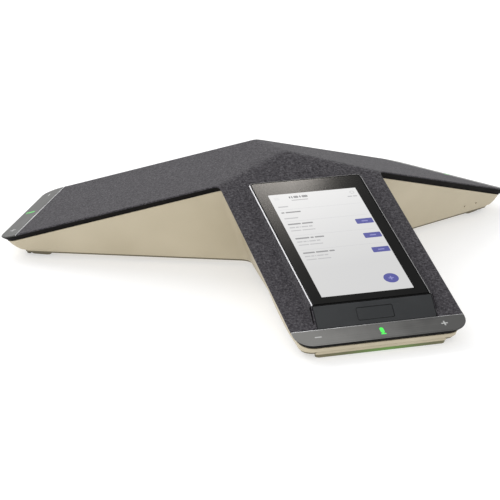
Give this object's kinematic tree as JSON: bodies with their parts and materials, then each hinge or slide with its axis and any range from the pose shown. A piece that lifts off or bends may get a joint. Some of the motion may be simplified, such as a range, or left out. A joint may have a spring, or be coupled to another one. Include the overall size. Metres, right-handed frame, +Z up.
{
  "type": "conference desk ip phone",
  "caption": "Three-arm conference phone with cloth-covered speaker, tilted touch screen on the front arm and lit touch strips on its tips.",
  "frame": {"origin": "on the table, under the middle of the phone's box", "axes": "+Z up, -Y towards the screen's user along the front arm, +X to that user's right"},
  "size_m": [0.3826, 0.3428, 0.0752],
  "materials": {
    "housing": "satin champagne paint over moulded plastic",
    "frame_black": "fine matt black moulding",
    "fabric": "charcoal knitted cloth with lighter flecks",
    "strip_grey": "satin grey with fine brushed lines",
    "light_green": "lit green",
    "light_white": "white light window",
    "light_bar": "tinted light guide",
    "screen_glass": "polished cover glass, black behind",
    "lcd": "display panel",
    "panel_grey": "satin dark grey",
    "steel": "stamped sheet",
    "screw_steel": "zinc plated",
    "rubber": "soft matt rubber",
    "foam": "closed cell foam",
    "board": "solder resist over glass laminate",
    "ribbon": "flat flexible lead",
    "basket_metal": "black steel pressing",
    "magnet_metal": "ferrite ring between steel plates",
    "cone": "coated paper cone",
    "copper": "lacquered copper winding",
    "jack_black": "black moulded jack",
    "label": "blank printed plate"
  },
  "bodies": {
    "phone": {"bottom_housing": "housing", "mid_frame": "frame_black", "grille_frame": "frame_black", "fabric_skin": "fabric", "touch_strip_front": "strip_grey", "touch_strip_right": "strip_grey", "touch_strip_left": "strip_grey", "mute_light_front": "light_green", "mute_light_right": "light_green", "mute_light_left": "light_green", "volume_lights_front": "light_white", "volume_lights_right": "light_white", "volume_lights_left": "light_white", "touch_board_front": "board", "touch_board_right": "board", "touch_board_left": "board", "light_bar_front": "light_bar", "light_bar_right": "light_bar", "light_bar_left": "light_bar", "foot_front": "rubber", "foot_right": "rubber", "foot_left": "rubber", "mic_capsule_front": "steel", "mic_capsule_right": "steel", "mic_capsule_left": "steel", "mic_boot_front": "rubber", "mic_boot_right": "rubber", "mic_boot_left": "rubber", "strip_cable_front": "ribbon", "strip_cable_right": "ribbon", "strip_cable_left": "ribbon", "display_frame": "frame_black", "cover_glass": "screen_glass", "lcd_panel": "lcd", "display_bracket": "steel", "display_cable": "ribbon", "chin_panel": "panel_grey", "home_switch": "board", "speaker_basket": "basket_metal", "speaker_magnet": "magnet_metal", "speaker_surround": "rubber", "speaker_gasket": "foam", "speaker_enclosure": "frame_black", "speaker_screws": "screw_steel", "main_board": "board", "shield_can": "steel", "antennas": "board", "board_screws": "screw_steel", "port_bay": "frame_black", "lan_jack": "steel", "usb_a_jack": "steel", "usb_micro_jack": "steel", "mic_jacks": "jack_black", "lock_plate": "steel", "case_screws": "screw_steel", "rating_plate": "label"},
    "home_key": {"home_key": "panel_grey"},
    "speaker_cone": {"speaker_cone": "cone", "voice_coil": "copper"}
  },
  "joints": [
    {"name": "home_key_press", "type": "slide", "parent": "phone", "child": "home_key", "axis": [0, 0.7127, -0.7015], "range_m": [0, 0.0005], "stiffness_N_per_m": 1500, "springref_m": -0.0002},
    {"name": "cone_travel", "type": "slide", "parent": "phone", "child": "speaker_cone", "axis": [0, 0, 1], "range_m": [-0.002, 0.002], "stiffness_N_per_m": 1500}
  ]
}
